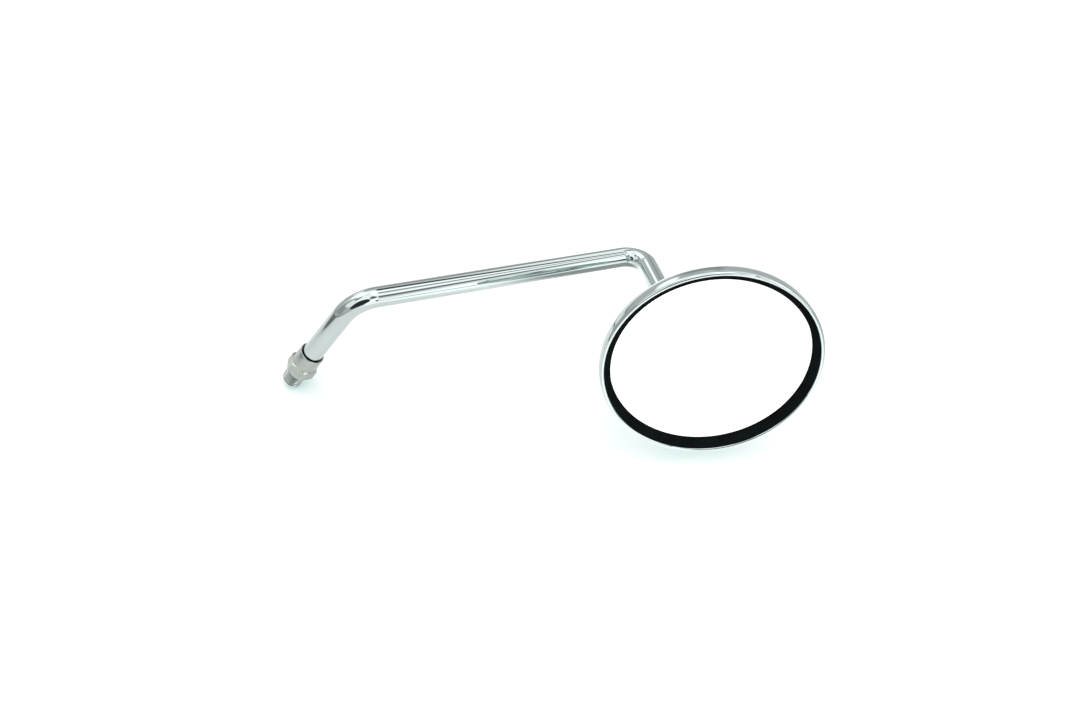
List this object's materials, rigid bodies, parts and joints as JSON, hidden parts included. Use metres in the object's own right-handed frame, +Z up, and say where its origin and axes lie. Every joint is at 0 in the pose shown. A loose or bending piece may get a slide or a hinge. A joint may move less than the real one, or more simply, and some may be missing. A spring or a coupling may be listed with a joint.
{
  "type": "motorcycle mirror",
  "caption": "Round chromed rear-view mirror on a bent rod stem, with a ball-jointed pressed shell, rubber-framed glass and a threaded lower end with a skirted lock nut.",
  "frame": {"origin": "on the axis of the stem's thread, at the upper end of its free length, where the lock nut seats", "axes": "+Z up the thread axis as fitted on a handlebar, +X outboard along the stem's reach, -Y back towards the rider"},
  "size_m": [0.1685, 0.1208, 0.1993],
  "materials": {
    "chrome": "bright chrome plate on steel",
    "nut_plate": "dull nickel plate on steel",
    "rubber": "matt black moulded rubber",
    "mirror": "flat silvered glass",
    "ball_steel": "ground steel",
    "zinc_steel": "zinc-plated pressed steel",
    "nylon": "natural nylon",
    "card": "grey pressed card"
  },
  "bodies": {
    "stem": {"stem": "chrome", "pivot_ball": "ball_steel"},
    "lock_nut": {"lock_nut": "nut_plate"},
    "rear_cup": {"rear_friction_cup": "nylon"},
    "front_cup": {"front_friction_cup": "nylon"},
    "head": {"shell": "chrome", "gasket": "rubber", "mirror_glass": "mirror", "packing_disc": "card", "clamp_plate": "zinc_steel", "clamp_studs": "zinc_steel", "spring_washers": "zinc_steel", "clamp_nuts": "zinc_steel"}
  },
  "joints": [
    {"name": "lock_nut_turn", "type": "hinge", "parent": "stem", "child": "lock_nut", "pos_m": [0, 0, 0.004], "axis": [0, 0, 1], "continuous": true},
    {"name": "head_turn", "type": "hinge", "parent": "stem", "child": "rear_cup", "pos_m": [0.11874, -0.06393, 0.1291], "axis": [-0.3261, -0.9004, 0.288], "continuous": true},
    {"name": "head_tilt", "type": "hinge", "parent": "rear_cup", "child": "front_cup", "pos_m": [0.11874, -0.06393, 0.1291], "axis": [0.9402, -0.3405, 0], "range_deg": [-12, 12]},
    {"name": "head_swing", "type": "hinge", "parent": "front_cup", "child": "head", "pos_m": [0.11874, -0.06393, 0.1291], "axis": [0.0981, 0.2708, 0.9576], "range_deg": [-12, 12]}
  ]
}
